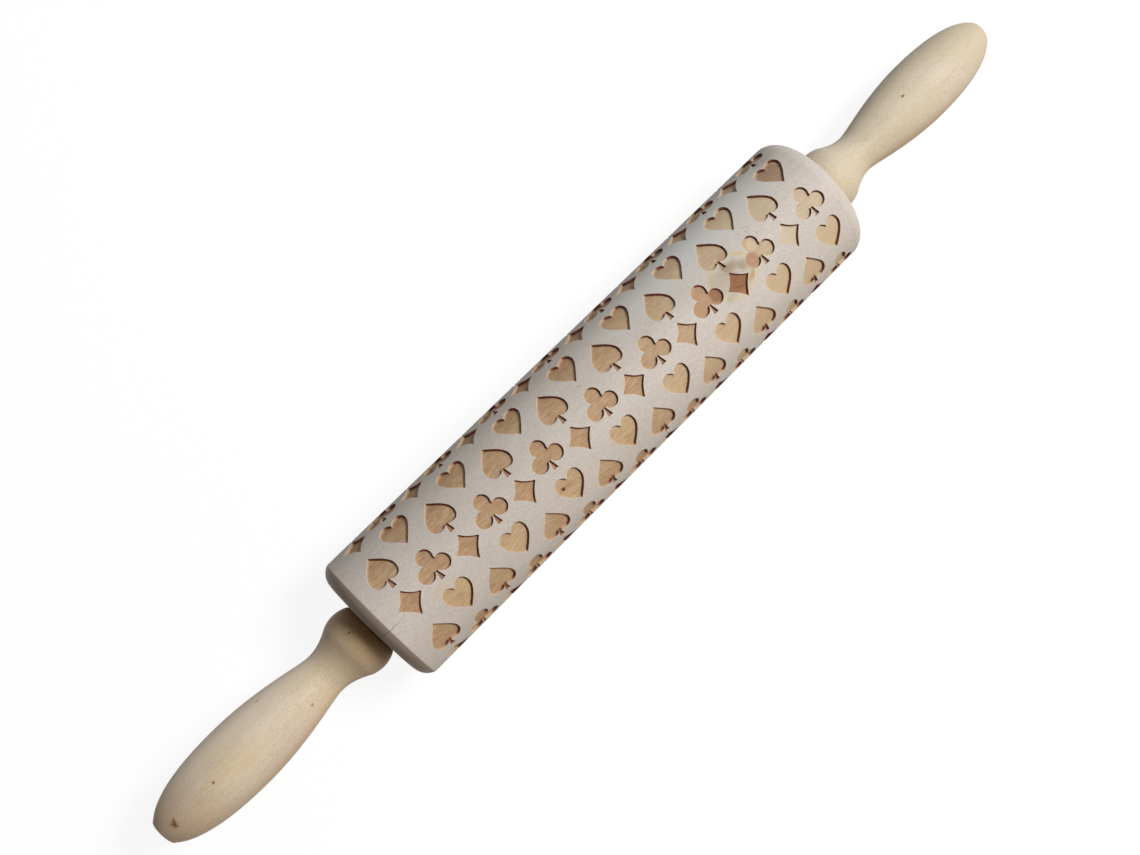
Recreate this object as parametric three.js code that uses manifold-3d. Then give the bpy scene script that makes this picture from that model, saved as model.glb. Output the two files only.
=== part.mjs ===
// Embossed rolling pin, in millimetres.
// The pin lies along X with its barrel resting on the plane z = 0, under the origin's axis.
import * as THREE from 'three';
import { mergeVertices } from 'three/addons/utils/BufferGeometryUtils.js';
import Module from 'manifold-3d';

const wasm = await Module();
wasm.setup();

// Fits that several pieces share
const gluedGap = 0.3;         // round the axle in a handle, and round a bush in the barrel
const runningClearance = 0.4; // between what turns and what stands still

// Axle, a wooden dowel
const axleRadius = 5;
const axleChamfer = 1;
const gluePocket = 1;        // room left past each end of the axle
const axleFacets = 16;

// Flanged bushes, one pressed into each end of the barrel
const bushLength = 16;
const bushWall = 2;
const flangeRadius = 10.5;
const flangeThickness = 2;
const flangeProud = 0.4;     // how far the thrust face stands out of the barrel
const bushFacets = 20;

// Barrel
const barrelLength = 235;
const barrelRadius = 27;
const endRounding = 5.6;     // radius of the rounded edge at each end
const creaseAngle = 12;      // degrees, how sharply that rounding breaks from the straight barrel
const roundingSteps = 4;
const boreClearance = 1.5;   // the bore between the bushes stays clear of the axle
const barrelFacets = 24;     // one of them is the flat underneath

// The engraved pattern: hearts and clubs take turns along the barrel with spades and diamonds
const recessDepth = 1;
const patternPitch = 27.1;   // along the barrel, from one heart to the next
const rowSpacing = 33;       // least distance around the barrel, from one heart to the next
const plainEnd = 15.5;       // plain wood left before the outermost suits' centres
const rowSkew = 0.2;         // how far a row creeps around the barrel in one pitch
const cutterOverrun = 3;
const flankSteps = 3;
const shoulderSteps = 2;
const lobeSteps = 5;
const topSteps = 3;
const seamTolerance = 0.001;  // corners this close to a straight edge are left out of it

// Suits. Each has its own middle, and "up" points around the barrel, towards the spades' tips.
const heart = { width: 11.2, height: 12.5, cleft: 2.2, place: 15.6 };
const spade = { width: 11.2, height: 12.4, cleft: 1.4, place: -12.6 };
const diamond = { width: 10.3, above: 5, below: 6.2, hollow: 0.35, place: 3.4 };
const club = { lobeRadius: 3, lobeSpread: 3.6, lobeRise: 5.1, place: 1.2 };
const stem = { length: 3.3, topWidth: 0.5, footWidth: 1.8 };

// Where a heart's outline turns, as shares of its width and height, with its point at the bottom
const heartShares = {
  widestUp: 0.72, lobeTopOut: 0.26, pointPull: [0.16, 0.2], flankPullUp: 0.46,
  shoulderPullUp: 0.9, shoulderPullOut: 0.4,
};
// Where a club's arcs begin and end, in degrees from the outward direction
const clubAngles = { sideFoot: -160, sideNotch: 112, topNotch: -40, topMiddle: 90 };

// Handles, measured from the face that runs against the bush
const handleLength = 96.8;
const collarRadius = 12.9;
const collarCrown = 6.2;     // distance to the collar's widest place
const collarRound = 12;      // radius of the collar's bulge, seen from the side
const collarLength = 11;
const collarStep = 0.4;      // the small ledge where the collar ends
const neckRadius = 8.4;
const neckPlace = 22;
const gripRadius = 13.3;
const gripPlace = 61.2;
const tipRadius = 5.6;       // where the grip's taper meets the rounding of the tip
const tipDrop = 0.8;         // how far the tip stands out past that place
const socketDepth = 42;
const handleFacets = 18;
const collarSteps = 4;
const coveSteps = 4;
const gripSteps = 5;

// How far each of the handle's curves is pulled, as shares of the stretch between its ends
const coveShares = { startAlong: 0.28, startIn: 0.5, endAlong: 0.4 };
const swellShares = { startAlong: 0.12, endAlong: 0.5 };
const taperShares = { startAlong: 0.37, endAlong: 0.8, endOut: 0.9 };
const tipShares = { cornerIn: 1, cornerBack: 0.25, flatIn: 2 };

// Sizes that follow from the ones above
const bushBore = axleRadius + runningClearance;
const bushRadius = bushBore + bushWall;
const handleStart = barrelLength / 2 + flangeProud + runningClearance;
const axleLength = 2 * (handleStart + socketDepth - gluePocket);

const barrelWood = new THREE.MeshStandardMaterial({ color: 0xcdc2b6, roughness: 0.62, metalness: 0 });
const handleWood = new THREE.MeshStandardMaterial({ color: 0xd6c6a8, roughness: 0.55, metalness: 0 });
const axleWood = new THREE.MeshStandardMaterial({ color: 0xc9ad84, roughness: 0.7, metalness: 0 });
const bushNylon = new THREE.MeshStandardMaterial({ color: 0xe8e4da, roughness: 0.45, metalness: 0 });

// A solid of revolution along X. The profile runs from one end of the axis to the other as
// (radius, distance along X), and the middles of its facets lie on the true radius.
function turned(profile, facets) {
  const toCorner = 1 / Math.cos(Math.PI / facets);
  const points = profile.map(([radius, along]) => new THREE.Vector2(radius * toCorner, along));
  const geometry = new THREE.LatheGeometry(points, facets, Math.PI / facets);
  return merged(geometry.rotateZ(-Math.PI / 2));
}

// The profile of a piece that is alike at both ends, from its right half
function bothEnds(rightHalf) {
  return [...rightHalf.map(([radius, along]) => [radius, -along]).reverse(), ...rightHalf];
}

function merged(geometry) {
  geometry.deleteAttribute('normal');
  geometry.deleteAttribute('uv');
  return mergeVertices(geometry, seamTolerance);
}

function toSolid(geometry) {
  return new wasm.Manifold(new wasm.Mesh({
    numProp: 3,
    vertProperties: new Float32Array(geometry.getAttribute('position').array),
    triVerts: new Uint32Array(geometry.getIndex().array),
  }));
}

function toGeometry(solid) {
  const mesh = solid.getMesh();
  const geometry = new THREE.BufferGeometry();
  geometry.setAttribute('position', new THREE.BufferAttribute(new Float32Array(mesh.vertProperties), 3));
  geometry.setIndex(new THREE.BufferAttribute(new Uint32Array(mesh.triVerts), 1));
  return geometry;
}

function piece(name, geometry, material, along = 0) {
  const mesh = new THREE.Mesh(geometry, material);
  mesh.name = name;
  mesh.position.x = along;
  return mesh;
}

// Points of an arc about (centreX, centreY), from one angle to the other in degrees
function arc(centreX, centreY, radius, fromAngle, toAngle, steps) {
  return Array.from({ length: steps + 1 }, (_, i) => {
    const angle = THREE.MathUtils.degToRad(fromAngle + (toAngle - fromAngle) * i / steps);
    return [centreX + radius * Math.cos(angle), centreY + radius * Math.sin(angle)];
  });
}

// Points of a cubic curve through its two ends, drawn towards two handles
function curve(start, startPull, endPull, end, steps) {
  const pull = (point) => new THREE.Vector2(...point);
  const path = new THREE.CubicBezierCurve(pull(start), pull(startPull), pull(endPull), pull(end));
  return path.getPoints(steps).map((point) => [point.x, point.y]);
}

// The left half of an outline is its right half, mirrored and walked the other way
function mirrored(rightHalf) {
  return rightHalf.filter(([x]) => x !== 0).map(([x, y]) => [-x, y]).reverse();
}

// Half of a heart standing on its point, from the point up the right side to the cleft
function heartHalf({ width, height, cleft }) {
  const shares = heartShares;
  const widest = [width / 2, height * shares.widestUp];
  const lobeTop = [width * shares.lobeTopOut, height];
  const pointPull = [width * shares.pointPull[0], height * shares.pointPull[1]];
  const flankPull = [width / 2, height * shares.flankPullUp];
  const shoulderPull = [width / 2, height * shares.shoulderPullUp];
  const topPull = [width * shares.shoulderPullOut, height];
  const flank = curve([0, 0], pointPull, flankPull, widest, flankSteps);
  const shoulder = curve(widest, shoulderPull, topPull, lobeTop, shoulderSteps);
  return [...flank, ...shoulder.slice(1), [0, height - cleft]];
}

// The right half of a flared stem that hangs from the given height
function stemHalf(topHeight) {
  return [[stem.footWidth / 2, topHeight - stem.length], [stem.topWidth / 2, topHeight]];
}

function heartOutline() {
  const half = heartHalf(heart).map(([x, y]) => [x, y - heart.height / 2]);
  return [...half, ...mirrored(half)];
}

// A spade is a heart on its head, whose cleft opens into a stem
function spadeOutline() {
  const body = heartHalf(spade).slice(0, -1).map(([x, y]) => [x, spade.height / 2 - y]).reverse();
  const half = [...stemHalf(spade.cleft - spade.height / 2), ...body];
  return [...half, ...mirrored(half)];
}

// Each side of a diamond is drawn in towards its middle
function diamondOutline() {
  const { width, above, below, hollow } = diamond;
  const lowerMiddle = [width / 4 - hollow, -below / 2 + hollow];
  const upperMiddle = [width / 4 - hollow, above / 2 - hollow];
  const half = [[0, -below], lowerMiddle, [width / 2, 0], upperMiddle, [0, above]];
  return [...half, ...mirrored(half)];
}

function clubOutline() {
  const { lobeRadius, lobeSpread, lobeRise } = club;
  const side = arc(lobeSpread, 0, lobeRadius, clubAngles.sideFoot, clubAngles.sideNotch, lobeSteps);
  const top = arc(0, lobeRise, lobeRadius, clubAngles.topNotch, clubAngles.topMiddle, topSteps);
  // the top lobe's first point is the notch where the side lobe ends
  const half = [...stemHalf(side[0][1]), ...side, ...top.slice(1, -1), [0, lobeRise + lobeRadius]];
  return [...half, ...mirrored(half)];
}

// A suit's cutter stands on the top of the barrel, and is then carried around it
function cutter(outline, along, around) {
  const shape = new THREE.Shape(outline.map((point) => new THREE.Vector2(...point)));
  const depth = recessDepth + 2 * cutterOverrun;
  const geometry = new THREE.ExtrudeGeometry(shape, { depth, bevelEnabled: false });
  geometry.translate(along, 0, barrelRadius + cutterOverrun - depth);
  return toSolid(merged(geometry.rotateX(around)));
}

function patternCutters() {
  const columnStep = patternPitch / 2;
  const columns = Math.floor((barrelLength - 2 * plainEnd) / columnStep) + 1;
  const rows = Math.floor(2 * Math.PI * barrelRadius / rowSpacing);
  const pairs = [
    [[spadeOutline(), spade.place], [diamondOutline(), diamond.place]],
    [[heartOutline(), heart.place], [clubOutline(), club.place]],
  ];
  let cutters = null;
  for (let column = 0; column < columns; column++) {
    const along = (column - (columns - 1) / 2) * columnStep;
    const creep = rowSkew * along / patternPitch;
    for (let row = 0; row < rows; row++) {
      for (const [outline, place] of pairs[column % 2]) {
        const around = (place + creep) / barrelRadius + 2 * Math.PI * row / rows;
        const next = cutter(outline, along, around);
        cutters = cutters ? cutters.add(next) : next;
      }
    }
  }
  return cutters;
}

function makeBarrel() {
  const end = barrelLength / 2;
  // the rounding's circle is placed so that it ends on the face and starts on the barrel at the crease
  const centreRadius = barrelRadius - endRounding * Math.cos(THREE.MathUtils.degToRad(creaseAngle));
  const rounding = arc(centreRadius, end - endRounding, endRounding, creaseAngle, 90, roundingSteps);
  const outer = toSolid(turned(bothEnds([...rounding, [0, end]]), barrelFacets));

  // the floors of the recesses lie on a smaller barrel that fills the bottom of every cut
  const floorRadius = barrelRadius - recessDepth;
  const floorEnd = end - endRounding;
  const coreProfile = [[0, -floorEnd], [floorRadius, -floorEnd], [floorRadius, floorEnd], [0, floorEnd]];
  const core = toSolid(turned(coreProfile, barrelFacets));

  const boreRadius = axleRadius + boreClearance;
  const seatRadius = bushRadius + gluedGap;
  const seatEnd = end + flangeProud - bushLength - gluedGap;
  const recessRadius = flangeRadius + gluedGap;
  const recessEnd = end + flangeProud - flangeThickness - gluedGap;
  const past = end + cutterOverrun;
  const boreHalf = [
    [boreRadius, seatEnd], [seatRadius, seatEnd], [seatRadius, recessEnd], [recessRadius, recessEnd],
    [recessRadius, past], [0, past],
  ];
  const bore = toSolid(turned(bothEnds(boreHalf), bushFacets));
  const engraved = outer.subtract(patternCutters()).add(core).subtract(bore);
  // corners that the cuts left on straight edges are spare
  return toGeometry(engraved.asOriginal().simplify(seamTolerance));
}

function makeBush() {
  const profile = [
    [bushBore, 0], [bushRadius, 0], [bushRadius, bushLength - flangeThickness],
    [flangeRadius, bushLength - flangeThickness], [flangeRadius, bushLength],
    [bushBore, bushLength], [bushBore, 0],
  ];
  return turned(profile, bushFacets);
}

function makeAxle() {
  const end = axleLength / 2;
  const half = [[axleRadius, end - axleChamfer], [axleRadius - axleChamfer, end], [0, end]];
  return turned(bothEnds(half), axleFacets);
}

function makeHandle() {
  const socketRadius = axleRadius + gluedGap;
  const bulgeAngle = (along) => THREE.MathUtils.radToDeg(Math.asin((along - collarCrown) / collarRound));
  const bulgeCentre = collarRadius - collarRound;
  const collar = arc(bulgeCentre, collarCrown, collarRound, bulgeAngle(0), bulgeAngle(collarLength), collarSteps);
  const coveStart = [collar[collarSteps][0] - collarStep, collarLength];
  const cove = neckPlace - collarLength;
  const coveDrop = coveStart[0] - neckRadius;
  const swell = gripPlace - neckPlace;
  const tipPlace = handleLength - tipDrop;
  const taper = tipPlace - gripPlace;
  const neck = [neckRadius, neckPlace];
  const grip = [gripRadius, gripPlace];
  const coveCurve = curve(coveStart,
    [coveStart[0] - coveDrop * coveShares.startIn, collarLength + cove * coveShares.startAlong],
    [neckRadius, neckPlace - cove * coveShares.endAlong], neck, coveSteps);
  const swellCurve = curve(neck, [neckRadius, neckPlace + swell * swellShares.startAlong],
    [gripRadius, gripPlace - swell * swellShares.endAlong], grip, gripSteps);
  const taperCurve = curve(grip, [gripRadius, gripPlace + taper * taperShares.startAlong],
    [gripRadius * taperShares.endOut, gripPlace + taper * taperShares.endAlong],
    [tipRadius, tipPlace], gripSteps);
  const tip = [
    [tipRadius - tipDrop * tipShares.cornerIn, handleLength - tipDrop * tipShares.cornerBack],
    [tipRadius - tipDrop * tipShares.flatIn, handleLength], [0, handleLength],
  ];
  const socket = [[0, socketDepth], [socketRadius, socketDepth], [socketRadius, 0]];
  const outside = [...collar, ...coveCurve, ...swellCurve.slice(1), ...taperCurve.slice(1), ...tip];
  return turned([...socket, ...outside], handleFacets);
}

const handleSet = new THREE.Group();
const rightHandle = piece('right_handle', makeHandle(), handleWood, handleStart);
const leftHandle = piece('left_handle', makeHandle(), handleWood, -handleStart);
leftHandle.rotation.z = Math.PI;
handleSet.add(piece('axle', makeAxle(), axleWood), leftHandle, rightHandle);

const barrelSet = new THREE.Group();
const bushStart = barrelLength / 2 + flangeProud - bushLength;
const rightBush = piece('right_bush', makeBush(), bushNylon, bushStart);
const leftBush = piece('left_bush', makeBush(), bushNylon, -bushStart);
leftBush.rotation.z = Math.PI;
barrelSet.add(piece('barrel', makeBarrel(), barrelWood), leftBush, rightBush);

const rollingPin = new THREE.Group();
rollingPin.position.z = barrelRadius;
rollingPin.add(handleSet, barrelSet);

export default rollingPin;
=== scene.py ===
import math
from types import SimpleNamespace

import bpy
import numpy as np
from mathutils import Matrix, Vector
from mathutils.geometry import delaunay_2d_cdt


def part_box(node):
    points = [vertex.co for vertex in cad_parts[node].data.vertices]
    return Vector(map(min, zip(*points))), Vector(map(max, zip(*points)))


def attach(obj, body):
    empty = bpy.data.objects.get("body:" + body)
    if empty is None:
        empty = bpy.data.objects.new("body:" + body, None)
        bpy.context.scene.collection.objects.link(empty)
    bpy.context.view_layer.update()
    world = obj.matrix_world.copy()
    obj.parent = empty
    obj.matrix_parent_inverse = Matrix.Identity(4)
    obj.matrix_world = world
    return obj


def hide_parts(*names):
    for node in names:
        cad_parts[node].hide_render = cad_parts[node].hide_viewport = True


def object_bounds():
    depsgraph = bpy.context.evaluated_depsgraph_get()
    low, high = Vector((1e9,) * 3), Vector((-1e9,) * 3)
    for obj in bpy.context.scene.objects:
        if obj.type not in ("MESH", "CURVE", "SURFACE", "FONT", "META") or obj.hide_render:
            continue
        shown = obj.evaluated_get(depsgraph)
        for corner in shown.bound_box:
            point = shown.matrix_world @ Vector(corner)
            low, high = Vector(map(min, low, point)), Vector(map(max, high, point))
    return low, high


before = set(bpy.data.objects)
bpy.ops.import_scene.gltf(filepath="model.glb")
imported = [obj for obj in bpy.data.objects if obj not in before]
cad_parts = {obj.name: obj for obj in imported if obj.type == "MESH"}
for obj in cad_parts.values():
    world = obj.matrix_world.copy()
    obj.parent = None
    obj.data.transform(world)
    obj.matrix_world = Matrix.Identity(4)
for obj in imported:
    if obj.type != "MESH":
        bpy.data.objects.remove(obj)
cadLow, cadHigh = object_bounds()
scene = bpy.context.scene

# Shapes are worked out in millimetres, as distance along the pin and radius or turn about its axis,
# and become metres in the row frame when they are put into a mesh.
mm = 0.001
barrelLow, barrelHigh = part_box("barrel")
barrelRadius = (barrelHigh.z - barrelLow.z) / 2 / mm
barrelEnd = (barrelHigh.x - barrelLow.x) / 2 / mm
girth = 2 * math.pi * barrelRadius
axisHeight = barrelRadius


# Camera

cameraSettings = {
    "place": (-0.09343, 0.0, 0.54575),
    "right": (0.68760, -0.69863, 0.19780),
    "up": (0.69777, 0.71113, 0.08611),
    "lens": 44.40,
    "sensor": 36.0,
    "shift": (-0.1199, 0.0240),
}


def makeCamera(settings):
    own = SimpleNamespace(**settings)
    data = bpy.data.cameras.new("photoCamera")
    data.lens = own.lens
    data.sensor_width = own.sensor
    data.shift_x, data.shift_y = own.shift
    right = Vector(own.right).normalized()
    back = right.cross(Vector(own.up)).normalized()
    turn = Matrix((right, back.cross(right), back)).transposed()
    camera = bpy.data.objects.new("photoCamera", data)
    camera.matrix_world = Matrix.Translation(own.place) @ turn.to_4x4()
    scene.collection.objects.link(camera)
    scene.camera = camera


makeCamera(cameraSettings)
print("camera placed")


def pick(settings, *keys):
    # several settings at once
    return [settings[key] for key in keys]


# Curves in a plane, as arrays of points

def bezier(start, startPull, endPull, end, steps):
    # a cubic curve: the four points weighted by the binomials of t and 1 - t, t going from 0 to 1
    t = np.linspace(0, 1, steps + 1)[:, None]
    corners = [np.array(point, float) for point in (start, startPull, endPull, end)]
    weights = [(1 - t) ** 3, 3 * t * (1 - t) ** 2, 3 * t ** 2 * (1 - t), t ** 3]
    return sum(weight * corner for weight, corner in zip(weights, corners))


def arc(centre, radius, fromDegrees, toDegrees, steps):
    # a circle's points: centre plus radius times the cosine and sine of an evenly growing angle
    angle = np.radians(np.linspace(fromDegrees, toDegrees, steps + 1))
    return np.stack([centre[0] + radius * np.cos(angle), centre[1] + radius * np.sin(angle)], 1)


def line(start, end, steps):
    # evenly spaced points from one end to the other
    t = np.linspace(0, 1, steps + 1)[:, None]
    return np.array(start, float) * (1 - t) + np.array(end, float) * t


def chain(*stretches):
    # stretches that meet end to end, with each shared point kept once
    return np.concatenate([stretches[0]] + [stretch[1:] for stretch in stretches[1:]])


# Meshes

def toSpace(along, around, radius):
    # around is an arc length on the barrel's surface, and gives the turn about the axis: x is the
    # distance along, y is minus the radius times the turn's sine, and z is the radius times its cosine
    # plus the axis height
    along, around, radius = np.broadcast_arrays(along, around, radius)
    turn = around / barrelRadius
    return np.stack([along, -radius * np.sin(turn), radius * np.cos(turn) + axisHeight], -1) * mm


def bands(index):
    # quads between neighbouring rows of an index grid that closes on itself in its second direction,
    # and triangles where a row is a single point
    here, there = index[:-1], index[1:]
    quads = np.stack([here, np.roll(here, -1, 1), np.roll(there, -1, 1), there], -1).reshape(-1, 4)
    fromPoint = quads[:, 0] == quads[:, 1]
    toPoint = quads[:, 2] == quads[:, 3]
    return [quads[~fromPoint & ~toPoint], quads[fromPoint][:, 1:], quads[toPoint][:, :3]]


def usedOnly(faces, *columns):
    # the faces renumbered to the points that they use, and those points' rows of each column
    used, renumbered = np.unique(np.concatenate([face.ravel() for face in faces]), return_inverse=True)
    splits = np.split(renumbered, np.cumsum([face.size for face in faces])[:-1])
    return [part.reshape(face.shape) for part, face in zip(splits, faces)], *[c[used] for c in columns]


def makePiece(name, points, faces, body, material, hardAngle=None, marks=None, values=None):
    # marks holds a bit pattern for each point: an edge is hard where its two ends share a bit
    mesh = bpy.data.meshes.new(name)
    mesh.from_pydata(points.tolist(), [], sum([face.tolist() for face in faces], []))
    mesh.polygons.foreach_set("use_smooth", np.ones(len(mesh.polygons), bool))
    if hardAngle is not None:
        mesh.set_sharp_from_angle(angle=math.radians(hardAngle))
    if marks is not None:
        ends = np.empty(len(mesh.edges) * 2, np.int32)
        mesh.edges.foreach_get("vertices", ends)
        shared = np.bitwise_and.reduce(marks[ends.reshape(-1, 2)], axis=1) > 0
        mesh.attributes.new("sharp_edge", "BOOLEAN", "EDGE").data.foreach_set("value", shared)
    for attribute, numbers in (values or {}).items():
        layer = mesh.attributes.new(attribute, "FLOAT", "POINT")
        layer.data.foreach_set("value", numbers.astype(np.float32))
    mesh.materials.append(material)
    mesh.update()
    piece = bpy.data.objects.new(name, mesh)
    scene.collection.objects.link(piece)
    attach(piece, body)
    mesh.calc_loop_triangles()
    print("made", name, "with", len(mesh.loop_triangles), "triangles")
    return piece


def revolve(profile, columns):
    # a profile of (distance along, radius) carried round the axis: point i, j is the profile's point i
    # turned by j parts of a full turn; an end on the axis is one point, and a profile that has
    # none ends where it starts
    closed = profile[:, 1].min() > 0
    if closed:
        profile = profile[:-1]
    around = np.arange(columns) / columns * girth
    points = toSpace(profile[:, :1], around, profile[:, 1:]).reshape(-1, 3)
    index = np.arange(len(profile))[:, None] * columns + np.arange(columns)
    onAxis = profile[:, 1] <= 0
    index[onAxis] = index[onAxis][:, :1]
    faces = bands(np.concatenate([index, index[:1]]) if closed else index)
    faces, points = usedOnly(faces, points)
    return points, faces


# Node trees: calc, times, blendColour, ramp and noise return the socket that holds their result, and
# add their nodes to the tree of a socket that they are given

seedSteps = (7.0, 3.0, 5.0)
black, white = (0, 0, 0, 1), (1, 1, 1, 1)


def treeOf(*values):
    # the tree of the first socket among the values
    return next(value.id_data for value in values if isinstance(value, bpy.types.NodeSocket))


def addNode(tree, kind, inputs=None, **settings):
    node = tree.nodes.new("ShaderNode" + kind)
    for key, value in settings.items():
        setattr(node, key, value)
    for key, value in (inputs or {}).items():
        if isinstance(value, bpy.types.NodeSocket):
            tree.links.new(value, node.inputs[key])
        else:
            node.inputs[key].default_value = value
    return node


def calc(operation, *numbers):
    return addNode(treeOf(*numbers), "Math", dict(enumerate(numbers)), operation=operation).outputs[0]


def times(first, *others):
    # the product of them all
    for other in others:
        first = calc("MULTIPLY", first, other)
    return first


def blendColour(share, first, second):
    return addNode(treeOf(share), "Mix", {0: share, 6: first, 7: second}, data_type="RGBA").outputs[2]


def ramp(value, low, high, toLow=0.0, toHigh=1.0, kind="SMOOTHSTEP"):
    inputs = {"Value": value, "From Min": low, "From Max": high, "To Min": toLow, "To Max": toHigh}
    return addNode(treeOf(value), "MapRange", inputs, interpolation_type=kind).outputs[0]


def noise(vector, scale, detail=2.0, roughness=0.5, seed=0.0):
    # the scale is in turns per metre; the seed moves the pattern on, so that two of them differ
    tree = treeOf(vector)
    place = {"Vector": vector, "Scale": scale, "Location": tuple(seed * step for step in seedSteps)}
    moved = addNode(tree, "Mapping", place).outputs[0]
    inputs = {"Vector": moved, "Scale": 1.0, "Detail": detail, "Roughness": roughness}
    return addNode(tree, "TexNoise", inputs).outputs["Fac"]


def makeGroup(name, inputs, outputs):
    group = bpy.data.node_groups.new(name, "ShaderNodeTree")
    for label, kind, value in inputs:
        socket = group.interface.new_socket(label, in_out="INPUT", socket_type="NodeSocket" + kind)
        if value is not None:
            socket.default_value = value
    for label in outputs:
        group.interface.new_socket(label, in_out="OUTPUT", socket_type="NodeSocketFloat")
    return group, group.nodes.new("NodeGroupInput").outputs, group.nodes.new("NodeGroupOutput").inputs


def useGroup(group, **inputs):
    return addNode(treeOf(*inputs.values()), "Group", inputs, node_tree=group).outputs


def tint(red, green, blue):
    # a colour given in screen values, 0 to 255, as the linear colour that shaders take, by the sRGB
    # curve
    share = np.array([red, green, blue]) / 255
    linear = np.where(share <= 0.04045, share / 12.92, ((share + 0.055) / 1.055) ** 2.4)
    return (*linear.tolist(), 1.0)


def emptyTree(owner):
    owner.use_nodes = True
    owner.node_tree.nodes.clear()
    return owner.node_tree


def makeMaterial(name, roughness, specular=0.5):
    material = bpy.data.materials.new(name)
    tree = emptyTree(material)
    shader = addNode(tree, "BsdfPrincipled", {"Roughness": roughness, "Specular IOR Level": specular})
    addNode(tree, "OutputMaterial", {0: shader.outputs[0]})
    return material, tree, shader, addNode(tree, "TexCoord").outputs["Object"]


# Wood figure shared by every wooden piece: fine lines along the pin, broad soft patches, the short dark
# flecks of beech, and fibres. Each is a noise of turns per metre, detail and roughness.

figureSettings = {
    "Lines": ((45, 900, 900), 4.0, 0.6), "Patches": ((14, 55, 55), 3.0, 0.55),
    "Flecks": ((420, 3600, 3600), 1.0, 0.5), "Fibres": ((260, 4200, 4200), 3.0, 0.6),
}
fleckSpan = (0.68, 0.78)      # where in their noise the flecks stand out


def makeFigureGroup(settings):
    inputs = [("Vector", "Vector", None), ("Seed", "Float", 0.0)]
    group, given, result = makeGroup("woodFigure", inputs, list(settings))
    shift = addNode(group, "CombineXYZ", {0: given["Seed"], 1: given["Seed"]}).outputs[0]
    moved = addNode(group, "VectorMath", {0: given["Vector"], 1: shift}, operation="ADD").outputs[0]
    for label, values in settings.items():
        figure = noise(moved, *values)
        group.links.new(ramp(figure, *fleckSpan) if label == "Flecks" else figure, result[label])
    return group


woodFigure = makeFigureGroup(figureSettings)


# Place on the pin, in millimetres: along it, around it from the top as on the barrel's surface, and
# depth below that surface

def makePlaceGroup():
    # around is the arc tangent of minus y over the height above the axis, times the barrel's radius;
    # depth is that radius less the root of the sum of their squares
    group, given, result = makeGroup(
        "pinPlace", [("Vector", "Vector", None)], ["Along", "Around", "Depth"])
    x, y, z = addNode(group, "SeparateXYZ", {0: given["Vector"]}).outputs
    group.links.new(calc("DIVIDE", x, mm), result["Along"])
    across = times(y, -1.0)
    upwards = calc("SUBTRACT", z, axisHeight * mm)
    group.links.new(times(calc("ARCTAN2", across, upwards), barrelRadius), result["Around"])
    squares = calc("ADD", calc("POWER", across, 2.0), calc("POWER", upwards, 2.0))
    radius = calc("DIVIDE", calc("SQRT", squares), mm)
    group.links.new(calc("SUBTRACT", barrelRadius, radius), result["Depth"])
    return group


pinPlace = makePlaceGroup()


# A soft oval spot on the pin: 1 inside the inner share of its oval, falling to 0 at its edge. Its long
# way goes around by the lean for each millimetre along.

spotShape = ("CentreAlong", "CentreAround", "HalfLength", "HalfWidth", "Inner", "Lean")


def makeSpotGroup():
    # the distance is the root of the sum of both offsets' squares, each offset over its half size
    labels = ("Along", "Around", *spotShape)
    group, given, result = makeGroup(
        "ovalSpot", [(label, "Float", float("Half" in label)) for label in labels], ["Mask", "Distance"])
    along = calc("SUBTRACT", given["Along"], given["CentreAlong"])
    around = calc("SUBTRACT", given["Around"], given["CentreAround"])
    around = calc("SUBTRACT", around, times(along, given["Lean"]))
    squares = [calc("POWER", calc("DIVIDE", offset, given[half]), 2.0)
               for offset, half in ((along, "HalfLength"), (around, "HalfWidth"))]
    distance = calc("SQRT", calc("ADD", *squares))
    group.links.new(distance, result["Distance"])
    group.links.new(ramp(distance, given["Inner"], 1.0, 1.0, 0.0), result["Mask"])
    return group


ovalSpot = makeSpotGroup()
print("shared node groups made")


# Barrel: the engraved pattern. One cell holds a spade over a diamond and a club over a heart; it
# repeats along the barrel and around it. In a cell, x runs along the pin and s around it.

patternSettings = {
    "pitch": 27.1,
    "rows": 5,
    "cells": 8,
    "skew": 0.2,           # how far a row creeps around in one pitch
    "cutMiddle": 9.75,     # the wavy line that parts two rows of cells
    "cutWave": 2.45,
    "sideBulge": 0.8,      # how far the border between two cells bows out past a club's lobe
    "sideSteps": 26,
    "cutSteps": 20,
    "spacing": 1.4,        # between the points of the plain wood and of the floors
    "clearance": 0.55,     # between those points and an outline
    "borderClearance": 0.84,   # between them and the cell's border
    # beside the outline and below the surface: the rim, the wall, and a margin on the floor
    "rim": [(0.2, 0.0), (0.1, 0.02), (0.0, 0.12), (-0.03, 0.92), (-0.12, 1.0), (-0.42, 1.0)],
    # the darkening of each row, burn and painted shade: the floor's margin stands partly for the wall's
    # cast shadow
    "scorchShares": [0.0, 0.8, 1.0, 0.95, 0.75, 0.0],
    "scorchFacing": (0.0, 0.45),   # a wall is darkened, by burn and painted shade, from the first share of facing along the pin on
    "stemScorch": [0.0, 0.1, 0.45, 0.45, 0.3, 0.22],   # the least that a stem has, on every side
    "stemMargin": (0.5, 0.14),   # the margin keeps to this share of a stem's half width, or to this
}
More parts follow.
